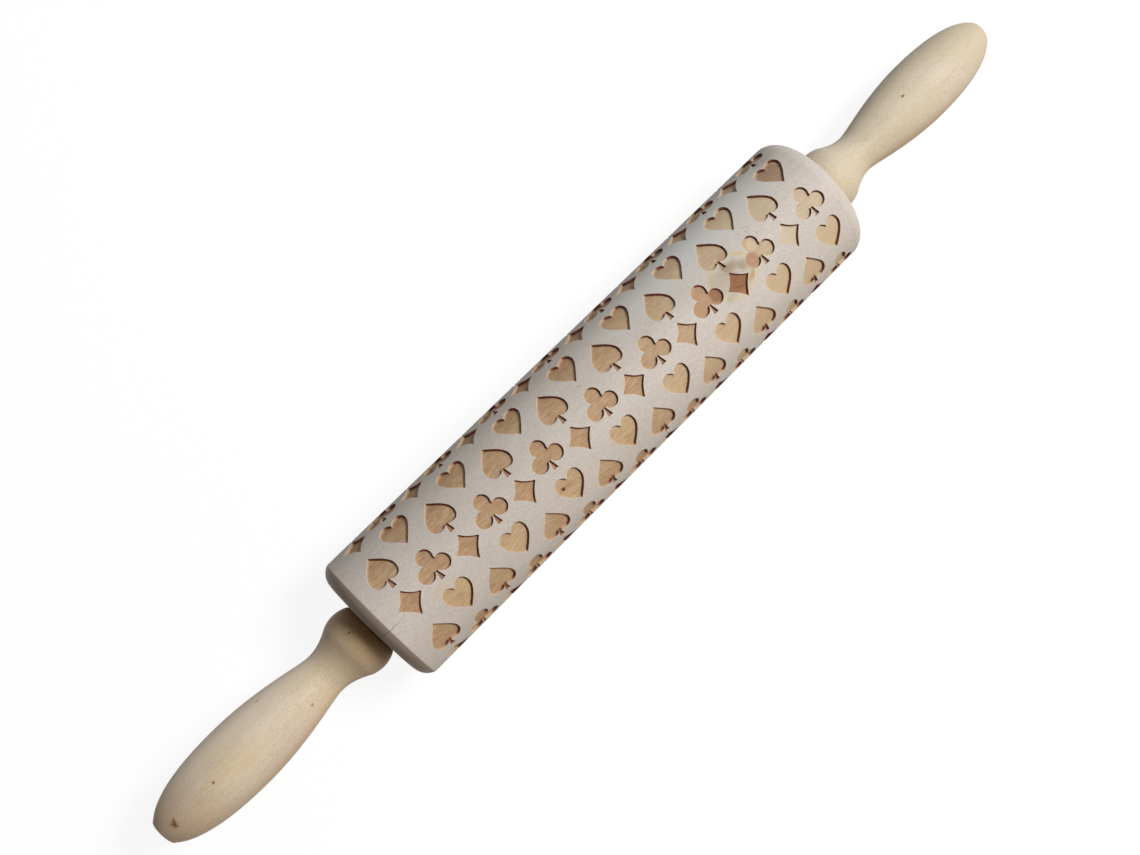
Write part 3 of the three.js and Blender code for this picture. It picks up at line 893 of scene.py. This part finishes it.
barrelWoodSettings = {
    "surface": (0.62, 0.3),      # roughness and specular level
    "seed": 0.37, "unevenScale": (260, 260, 260), "unevenReach": (2.6, 2.0),
    # turns per metre, detail, roughness and seed
    "noises": {
        "blush": ((30, 90, 90), 2.0, 0.5, 5.0), "mottle": ((900, 2600, 2600), 3.0, 0.75, 17.0),
        "specks": ((1100, 2600, 2600), 2.0, 0.7, 14.0), "breaks": ((130, 130, 130), 1.0, 0.5, 19.0),
        "broad": ((60, 900, 900), 2.0, 0.5, 21.0), "streaks": ((300, 3800, 3800), 3.0, 0.65),
        "ticks": ((1700, 1700, 1700), 1.0, 0.5, 6.0),
    },
    "light": tint(208, 200, 191), "fleck": tint(162, 152, 138), "fleckStrength": 0.3,
    # what a layer follows; from and to where in it, and its strength at each; its tint
    "woodLayers": [
        ("Patches", (0.35, 0.65), tint(200, 192, 182)),
        ("blush", (0.5, 0.75, 0.0, 0.6), tint(208, 196, 187)),
        ("mottle", (0.44, 0.66, 0.0, 0.6), tint(182, 175, 167)),
        ("mottle", (0.36, 0.5, 0.3, 0.0), tint(224, 219, 213)),
        ("Lines", (0.48, 0.75, 0.0, 0.3), tint(188, 177, 164)),
        ("specks", (0.5, 0.72, 0.0, 0.28), tint(188, 177, 164)),
    ],
    # the rounded ends, left and right: tint, how far along they grow to it, and strength; the dark left
    # tint is partly painted shade, as the left end faces away from the key lamp
    "rounded": [tint(138, 114, 90), tint(217, 210, 201)], "roundedFrom": 112.9,
    "roundedTo": (113.6, 116.6), "roundedStrength": 0.8, "roundedShares": (1.0, 0.4),
    "roundedMottle": (0.3, 0.7, 1.0, 0.75),
    # the flat ends show growth rings around a pith that lies outside the barrel
    "endFace": (116.9, 117.5), "pith": (0.0, 0.024, -0.016), "ringWidth": 0.0021,
    "ringWander": (27.0, (0, 140, 140), 14.0), "pores": ((0, 3600, 3600), 2.0, 0.6, 29.0),
    "endLight": tint(198, 174, 144),
    "endLayers": [
        ("rings", (-0.2, 1.0, 0.0, 0.55), tint(180, 154, 122)),
        ("pores", (0.52, 0.72, 0.0, 0.5), tint(124, 98, 74)),
    ],
    # no floor is yellow up to the first of these places around, and any may be from the second on
    "toneSpan": (-27.0, -9.0),
    "toneWander": (11.0, (40, 120, 120), 1.1), "floorTan": tint(180, 146, 113),
    "floorLayers": [
        ("tone", (0.0, 1.0), tint(198, 171, 134)),
        ("broad", (0.45, 0.75, 0.0, 0.22), tint(142, 108, 76)),
        ("streaks", (0.49, 0.68, 0.0, 0.62), tint(142, 108, 76)),
        ("streaks", (0.34, 0.48, 0.5, 0.0), tint(220, 198, 164)),
        ("Along", (0.0, 110.0, 0.0, 0.6, "LINEAR"), tint(213, 203, 178)),
    ],
    # depths at which floor and wall begin and the wall ends, and how far along the pattern ends
    "floorDepth": (0.06, 0.3), "wallDepth": (0.03, 0.12), "wallFoot": (0.9, 0.98, 1.0, 0.0),
    "patternEnd": (108.3, 108.5, 1.0, 0.0), "wall": tint(180, 154, 120), "wallStrength": 0.7,
    "tickSpan": (0.36, 0.64, 0.64, 1.2),
    # dark browns of burn and painted shade on the walls and the floor's margin
    "scorchLayers": [
        ("scorchAndShade", (0.02, 0.5), tint(146, 94, 66)),
        ("scorchAndShade", (0.35, 0.95), tint(88, 48, 32)),
    ],
    "knot": (61.5, 1.0, 9.9, 8.2, 0.0), "knotSpan": (0.5, 1.05, 0.6, 0.0),
    "knotTint": tint(188, 181, 166), "knotRing": (0.78, 0.95, 1.12), "ringTint": tint(206, 192, 152),
    "ringBreaks": (0.3, 0.6, 0.35, 0.75),
    "crack": (-119.0, 5.1, 13.4, 0.24, 0.35), "crackTint": tint(92, 70, 50), "crackStrength": 0.85,
    "crackWander": (9.0, (420, 0, 0), 1.1),
    "dullness": (0.16, 0.5), "floorDullness": 0.14,
    "streakRelief": 0.6, "crackRelief": -2.0, "relief": (0.22, 0.0001),
    # place along, place around, half length, half width, share that is full and any lean; strength; tint
    "woodSpots": [
        ((60, -20, 75, 17, 0), 0.75, (212, 214, 212)),
        ((57.5, -0.3, 9.5, 6.5, 0.2), 0.6, (176, 160, 140)),
        ((54.3, -2.4, 3.4, 3, 0.1), 0.6, (182, 173, 156)),
        ((62.5, -2.6, 5.4, 2.8, 0.1), 0.95, (158, 138, 116)),
        ((64.6, -1.4, 4.8, 2.6, 0.2, 0.5), 0.55, (166, 148, 126)),
        ((66.8, 0.2, 3, 3, 0.2), 0.8, (164, 146, 122)),
        ((55.4, 6, 4.2, 2.6, 0.1), 0.75, (180, 170, 150)),
        ((66.8, 5.3, 3.6, 1.8, 0.25, -0.55), 0.9, (182, 158, 110)),
        ((68.6, -4, 3.6, 1.4, 0.2, 0.65), 0.8, (202, 180, 136)),
        ((63.6, 0.9, 2.4, 0.32, 0.3, 0.68), 0.65, (160, 132, 126)),
        ((64.7, 1.2, 0.8, 0.5, 0.3), 0.6, (224, 196, 186)),
        ((59.8, -2.3, 1.5, 0.3, 0.3, 0.9), 0.5, (218, 210, 196)),
        ((54.4, -4.1, 0.6, 0.4, 0.2), 0.5, (146, 142, 126)),
        ((56.3, -4.4, 0.7, 0.4, 0.2), 0.4, (156, 150, 134)),
        ((76.5, -7.7, 0.5, 1.2, 0.2), 0.55, (150, 148, 140)),
        ((74.6, -8.7, 0.45, 0.9, 0.2), 0.45, (154, 150, 142)),
        ((77.2, -9.8, 0.5, 1.1, 0.2), 0.4, (154, 150, 142)),
        ((78.7, -8.8, 0.5, 1.2, 0.2), 0.45, (152, 150, 142)),
        ((79.6, -4.6, 0.6, 1, 0.2), 0.4, (156, 152, 144)),
        ((105, -26.5, 7, 4.5, 0.1), 0.4, (150, 132, 112)),
        ((-91, 7.6, 5, 3, 0.1), 0.5, (206, 188, 148)),
        ((-7.7, -9.8, 1.3, 0.8, 0.2), 0.5, (158, 148, 132)),
        ((-37, 13.5, 9, 1.2, 0.1), 0.2, (160, 134, 104)),
    ],
    "floorSpots": [
        ((88, 18, 55, 17, 0.5), 0.32, (190, 160, 122)),
        ((46.8, 1.6, 8, 8.5, 0.7), 0.42, (176, 126, 88)),
        ((61, 3.8, 8, 8, 0.7), 0.88, (138, 88, 52)),
        ((60.6, 8.2, 3.4, 2.6, 0.1), 0.5, (184, 130, 96)),
        ((60.7, 5.4, 2.4, 0.3, 0.3, 0.4), 0.7, (90, 52, 30)),
        ((61, 2.8, 3.2, 0.35, 0.2, -0.3), 0.45, (104, 62, 36)),
        ((53.2, 1.4, 4.7, 4.4, 0.6), 0.85, (146, 102, 74)),
        ((71.1, 1.3, 3.6, 3.6, 0.6), 0.75, (174, 128, 104)),
        ((71.2, 1.4, 1.2, 1.2, 0.5), 0.3, (196, 156, 134)),
        ((88.1, 4, 6.5, 6.5, 0.8), 0.4, (216, 205, 184)),
        ((74.9, -3.2, 2.9, 2.9, 0.6), 0.5, (222, 200, 168)),
        ((63.5, -7.2, 4, 2.4, 0.2), 0.45, (186, 140, 114)),
        ((101.6, -18.3, 8, 9, 0.5), 0.65, (142, 102, 74)),
        ((-37, 13.5, 7, 1.2, 0.1), 0.35, (140, 102, 66)),
        ((-37, 13.5, 1.1, 0.75, 0.4), 0.95, (74, 36, 20)),
    ],
}


def makeBarrelWood(settings):
    own = SimpleNamespace(**settings)
    material, tree, shader, coordinates = makeMaterial("barrelWood", *own.surface)
    sources = woodSources(coordinates, settings)
    depth, side, mottle = pick(sources, "Depth", "side", "mottle")
    length = calc("ABSOLUTE", sources["Along"])

    # the sanded surface, with a knot in a broken ring, and its rounded ends
    wood = paintLayers(own.light, sources, own.woodLayers)
    wood = blendColour(times(sources["Flecks"], own.fleckStrength), wood, own.fleck)
    knot = useSpot(sources, own.knot)["Distance"]
    wood = blendColour(ramp(knot, *own.knotSpan), wood, own.knotTint)
    inner, middle, outer = own.knotRing
    ring = times(ramp(knot, inner, middle), ramp(knot, middle, outer, 1.0, 0.0),
                 ramp(sources["breaks"], *own.ringBreaks))
    wood = blendColour(ring, wood, own.ringTint)
    wood = paintSpots(wood, sources, own.woodSpots)
    # the left rounded end is darkened, partly as painted shade
    roundedTo = ramp(side, 0.0, 1.0, *own.roundedTo)
    rounded = times(ramp(length, own.roundedFrom, roundedTo, 0.0, own.roundedStrength),
                    ramp(mottle, *own.roundedMottle),
                    ramp(side, 0.0, 1.0, *own.roundedShares))
    wood = blendColour(rounded, wood, blendColour(side, *own.rounded))

    # end grain: rings by a sine of the distance from the pith, and fine pores
    across = addNode(tree, "VectorMath", {0: coordinates, 1: (0, 1, 1)}, operation="MULTIPLY").outputs[0]
    fromPith = addNode(tree, "VectorMath", {0: across, 1: own.pith}, operation="DISTANCE")
    turns = times(fromPith.outputs["Value"], 2 * math.pi / own.ringWidth)
    sources["rings"] = calc("SINE", wandering(across, turns, *own.ringWander))
    sources["pores"] = noise(across, *own.pores)
    endWood = paintLayers(own.endLight, sources, own.endLayers)
    wood = blendColour(ramp(length, *own.endFace), wood, endWood)

    # the floors of the recesses, yellower or redder from suit to suit, with the grain laid open
    tone = addNode(tree, "Attribute", attribute_name="tone").outputs["Fac"]
    tone = times(tone, ramp(sources["Around"], *own.toneSpan))
    sources["tone"] = wandering(coordinates, tone, *own.toneWander)
    floor = paintLayers(own.floorTan, sources, own.floorLayers)
    floor = paintSpots(floor, sources, own.floorSpots)
    within = ramp(length, *own.patternEnd)
    onFloor = times(ramp(depth, *own.floorDepth), within)
    colour = blendColour(onFloor, wood, floor)

    # the walls, darkened unevenly by the steps of the cutter, partly burn and partly painted shade, and
    # the crack
    onWall = times(ramp(depth, *own.wallDepth), within, ramp(depth, *own.wallFoot))
    colour = blendColour(times(onWall, own.wallStrength), colour, own.wall)
    scorchAndShade = addNode(tree, "Attribute", attribute_name="scorchAndShade").outputs["Fac"]
    sources["scorchAndShade"] = times(scorchAndShade, ramp(sources["ticks"], *own.tickSpan))
    colour = paintLayers(colour, sources, own.scorchLayers)
    crackPlace = {"unevenAlong": sources["Along"],
                  "unevenAround": wandering(coordinates, sources["Around"], *own.crackWander)}
    crack = useSpot(crackPlace, own.crack)["Mask"]
    colour = blendColour(times(crack, own.crackStrength), colour, own.crackTint)

    dull = calc("MULTIPLY_ADD", sources["Fibres"], *own.dullness)
    dull = calc("MULTIPLY_ADD", onFloor, own.floorDullness, dull)
    streaks = times(sources["streaks"], own.streakRelief)
    relief = calc("MULTIPLY_ADD", onFloor, streaks, sources["Fibres"])
    relief = calc("MULTIPLY_ADD", crack, own.crackRelief, relief)
    finishSurface(tree, shader, colour, dull, relief, *own.relief)
    return material


handleWoodSettings = {
    "surface": (0.5, 0.35), "seed": 1.9, "unevenScale": (500, 500, 500), "unevenReach": (1.2, 2.0),
    "noises": {
        "blush": ((35, 70, 70), 2.0, 0.5, 4.0), "blotches": ((50, 110, 110), 3.0, 0.5, 23.0),
        "mottle": ((700, 2600, 2600), 3.0, 0.7, 17.0), "ticks": ((1300, 2200, 2200), 2.0, 0.65, 7.0),
        "scratches": ((110, 2300, 2300), 1.0, 0.5, 9.0), "turning": ((2600, 0, 0), 2.0, 0.7, 12.0),
    },
    # each handle is cut from its own wood: in a list the left one comes first
    "light": [tint(236, 222, 200), tint(215, 203, 182)],
    "layers": [
        ("Patches", (0.3, 0.7), [tint(224, 205, 177), tint(203, 189, 163)]),
        ("blush", (0.5, 0.72, 0.0, 0.45), tint(222, 204, 188)),
        ("blotches", (0.46, 0.62, 0.0, 0.5), [tint(220, 201, 164), tint(208, 195, 168)]),
        ("Along", (-212.0, -178.0, 0.5, 0.0), tint(180, 142, 98)),
    ],
    # painted shade on the left collar, darkest next to the barrel's end, which shadows it
    "soiled": tint(138, 102, 50), "soiledSpan": (-146.0, -121.5, 0.0, 0.95, "LINEAR"),
    "soiledPower": 1.6,
    "grain": [
        ("mottle", (0.45, 0.68, 0.0, 0.4), tint(184, 164, 136)),
        ("mottle", (0.34, 0.5, 0.15, 0.0), tint(246, 236, 220)),
        ("Lines", (0.5, 0.8, 0.0, 0.25), tint(188, 166, 136)),
        ("ticks", (0.5, 0.75, 0.0, 0.18), tint(188, 166, 136)),
    ],
    "scratched": (-143.0, 10.0, 7.0, 26.0, 0.3), "scratch": tint(180, 154, 116),
    "scratchSpan": (0.56, 0.66, 0.0, 0.5), "fleck": tint(150, 122, 94), "fleckStrength": 0.09,
    "dullness": (0.2, 0.46), "turningRelief": 0.5, "scratchRelief": -1.5, "relief": (0.2, 0.0001),
    # as on the barrel: a place around is the turn about the axis times the barrel's radius
    "spots": [
        # the first spot is painted light: it lightens the left handle's far side
        ((-172, -32, 50, 26, 0.3), 0.85, (242, 226, 204)),
        ((-178, 2, 16, 15, 0.2), 0.5, (222, 197, 154)),
        ((-160, 40, 45, 18, 0.3), 0.4, (196, 158, 116)),
        ((165, 40, 45, 18, 0.3), 0.55, (192, 158, 120)),
        ((166, -6.1, 2.2, 3.4, 0), 0.3, (196, 172, 128)),
        ((166, -6.1, 1.05, 1.3, 0.35), 0.95, (84, 52, 26)),
        ((153.2, -10.6, 0.9, 0.7, 0.3), 0.6, (140, 110, 84)),
        ((144.2, -2.1, 0.3, 5.9, 0.5), 0.45, (168, 140, 112)),
        ((-123.8, -9.2, 0.8, 1.1, 0.3), 0.85, (104, 50, 30)),
        ((-162, -25.7, 1.1, 0.9, 0.3), 0.7, (120, 96, 80)),
        ((-149.8, 12.5, 1.3, 2.8, 0), 0.45, (212, 158, 138)),
        ((-149.8, 12.5, 0.65, 1.4, 0.3), 0.85, (170, 90, 70)),
        ((-189.8, -0.5, 1.6, 2.8, 0), 0.4, (196, 136, 112)),
        ((-189.8, -0.5, 0.75, 1.3, 0.3), 0.9, (112, 48, 36)),
        ((-208.7, 1, 2.2, 7.5, 0.2), 0.5, (168, 126, 84)),
        ((-208.4, 0.6, 1.8, 3.6, 0.3, -3.1), 0.85, (120, 76, 44)),
        ((-209, 2.6, 1.3, 3.4, 0.3, 4), 0.8, (126, 80, 46)),
    ],
}


def makeHandleWood(settings):
    own = SimpleNamespace(**settings)
    material, tree, shader, coordinates = makeMaterial("handleWood", *own.surface)
    sources = woodSources(coordinates, settings)
    along = sources["unevenAlong"]
    light = blendColour(sources["side"], *own.light)
    wood = paintLayers(light, sources, own.layers)
    # on the left alone, painted shade that grows towards the collar, where the barrel's end casts its
    # shadow
    soiled = calc("POWER", ramp(along, *own.soiledSpan), own.soiledPower)
    soiled = times(soiled, calc("LESS_THAN", along, 0.0))
    wood = blendColour(soiled, wood, own.soiled)
    wood = paintLayers(wood, sources, own.grain)
    scratched = times(useSpot(sources, own.scratched)["Mask"],
                      ramp(sources["scratches"], *own.scratchSpan))
    wood = blendColour(scratched, wood, own.scratch)
    wood = blendColour(times(sources["Flecks"], own.fleckStrength), wood, own.fleck)
    wood = paintSpots(wood, sources, own.spots)
    dull = calc("MULTIPLY_ADD", sources["Fibres"], *own.dullness)
    relief = calc("MULTIPLY_ADD", sources["turning"], own.turningRelief, sources["Fibres"])
    relief = calc("MULTIPLY_ADD", scratched, own.scratchRelief, relief)
    finishSurface(tree, shader, wood, dull, relief, *own.relief)
    return material


axleWoodSettings = {
    "light": tint(205, 178, 140), "dark": tint(176, 142, 100), "seed": 4.2, "roughness": 0.6,
    "lineSpan": (0.35, 0.7), "dullness": (0.2, 0.5), "relief": (0.4, 0.00015),
}


def makeAxleWood(settings):
    material, tree, shader, coordinates = makeMaterial("axleWood", settings["roughness"])
    figure = useGroup(woodFigure, Vector=coordinates, Seed=settings["seed"])
    lines = ramp(figure["Lines"], *settings["lineSpan"])
    wood = blendColour(lines, settings["light"], settings["dark"])
    dull = calc("MULTIPLY_ADD", figure["Fibres"], *settings["dullness"])
    finishSurface(tree, shader, wood, dull, figure["Fibres"], *settings["relief"])
    return material


bushNylonSettings = {
    "light": tint(233, 230, 221), "dark": tint(222, 217, 205), "roughness": 0.42,
    "cloud": ((300, 300, 300), 2.0), "moulded": ((2400, 2400, 2400), 3.0, 0.6),
    "dullness": (0.18, 0.34), "relief": (0.2, 0.00008),
}


def makeBushNylon(settings):
    material, tree, shader, coordinates = makeMaterial("bushNylon", settings["roughness"])
    cloud, moulded = (noise(coordinates, *settings[key]) for key in ("cloud", "moulded"))
    colour = blendColour(cloud, settings["light"], settings["dark"])
    dull = calc("MULTIPLY_ADD", moulded, *settings["dullness"])
    finishSurface(tree, shader, colour, dull, moulded, *settings["relief"])
    return material


makeBarrel(patternSettings, barrelSettings, makeBarrelWood(barrelWoodSettings))
makeHandles(handleSettings, makeHandleWood(handleWoodSettings))
makeBushes(bushSettings, makeBushNylon(bushNylonSettings))
makeAxle(axleSettings, makeAxleWood(axleWoodSettings))


# Floor, lights and background

stageSettings = {
    "floorSize": 6.0, "floorTint": tint(102, 102, 102), "floorGlow": 0.9,
    "floorFade": (0.5, 1.5),   # how far from the middle the floor turns into the white background
    # the soft light from all round is stronger from the right, from behind and from low down, and
    # cooler from the right and from behind
    "ambient": 0.27, "ambientLean": (0.75, 0.45, -0.55), "tintLean": (0.6, 0.6, 0.0),
    "ambientCool": tint(236, 244, 255), "ambientWarm": tint(255, 220, 180),
}
lampSettings = [
    # name, place, size, power, colour
    ("keyLamp", (0.53, -0.17, 1.03), 0.34, 11.2, (1.0, 0.99, 0.98)),
    ("fillLamp", (0.25, -1.2, 0.4), 0.8, 3.0, (1.0, 0.84, 0.68)),
]


def backgroundRays(tree):
    # 1 where the camera, a mirror or glass looks straight at it
    rays = tree.nodes.new("ShaderNodeLightPath").outputs
    seen = calc("MAXIMUM", rays["Is Camera Ray"], rays["Is Glossy Ray"])
    return calc("MAXIMUM", seen, rays["Is Transmission Ray"])


def makeFloor(settings):
    # a pale diffuse surface that fades with the distance from the middle into a white glow
    material = bpy.data.materials.new("paleFloor")
    tree = emptyTree(material)
    place = addNode(tree, "TexCoord").outputs["Object"]
    reach = addNode(tree, "VectorMath", {0: place}, operation="LENGTH").outputs["Value"]
    fade = ramp(reach, *settings["floorFade"])
    colour = blendColour(fade, settings["floorTint"], black)
    surface = addNode(tree, "BsdfDiffuse", {"Color": colour})
    glow = ramp(fade, 0.0, 1.0, settings["floorGlow"], 1.0, "LINEAR")
    glow = addNode(tree, "Emission", {"Strength": times(backgroundRays(tree), glow)})
    both = addNode(tree, "AddShader", {0: surface.outputs[0], 1: glow.outputs[0]})
    addNode(tree, "OutputMaterial", {0: both.outputs[0]})
    half = settings["floorSize"] / 2
    corners = [(-half, -half), (half, -half), (half, half), (-half, half)]
    mesh = bpy.data.meshes.new("floor")
    mesh.from_pydata([(x, y, cadLow.z) for x, y in corners], [], [(0, 1, 2, 3)])
    mesh.materials.append(material)
    floor = bpy.data.objects.new("floor", mesh)
    scene.collection.objects.link(floor)


def makeWorld(settings):
    # strength and colour follow the dot products of the direction with two leans; the camera sees white
    own = SimpleNamespace(**settings)
    world = bpy.data.worlds.new("studio")
    scene.world = world
    tree = emptyTree(world)
    seen = backgroundRays(tree)
    direction = addNode(tree, "TexCoord").outputs["Generated"]
    share, lean = (addNode(tree, "VectorMath", {0: direction, 1: settings[key]}, operation="DOT_PRODUCT")
                   .outputs["Value"] for key in ("tintLean", "ambientLean"))
    cool = ramp(share, -1.0, 1.0, kind="LINEAR")
    colour = blendColour(cool, own.ambientWarm, own.ambientCool)
    colour = blendColour(seen, colour, white)
    ambient = calc("MULTIPLY_ADD", lean, own.ambient, own.ambient)
    strength = ramp(seen, 0.0, 1.0, ambient, 1.0, "LINEAR")
    background = addNode(tree, "Background", {"Color": colour, "Strength": strength})
    addNode(tree, "OutputWorld", {0: background.outputs[0]})


def makeLamps(lamps):
    for name, place, size, power, colour in lamps:
        data = bpy.data.lights.new(name, "AREA")
        data.size, data.energy, data.color = size, power, colour
        lamp = bpy.data.objects.new(name, data)
        lamp.location = place
        lamp.rotation_mode = "QUATERNION"
        fromAxis = Vector(place) - Vector((0, 0, axisHeight * mm))
        lamp.rotation_quaternion = fromAxis.to_track_quat("Z", "Y")
        scene.collection.objects.link(lamp)


makeFloor(stageSettings)
makeWorld(stageSettings)
makeLamps(lampSettings)
scene.view_settings.view_transform = "Standard"
print("stage and lamps placed")
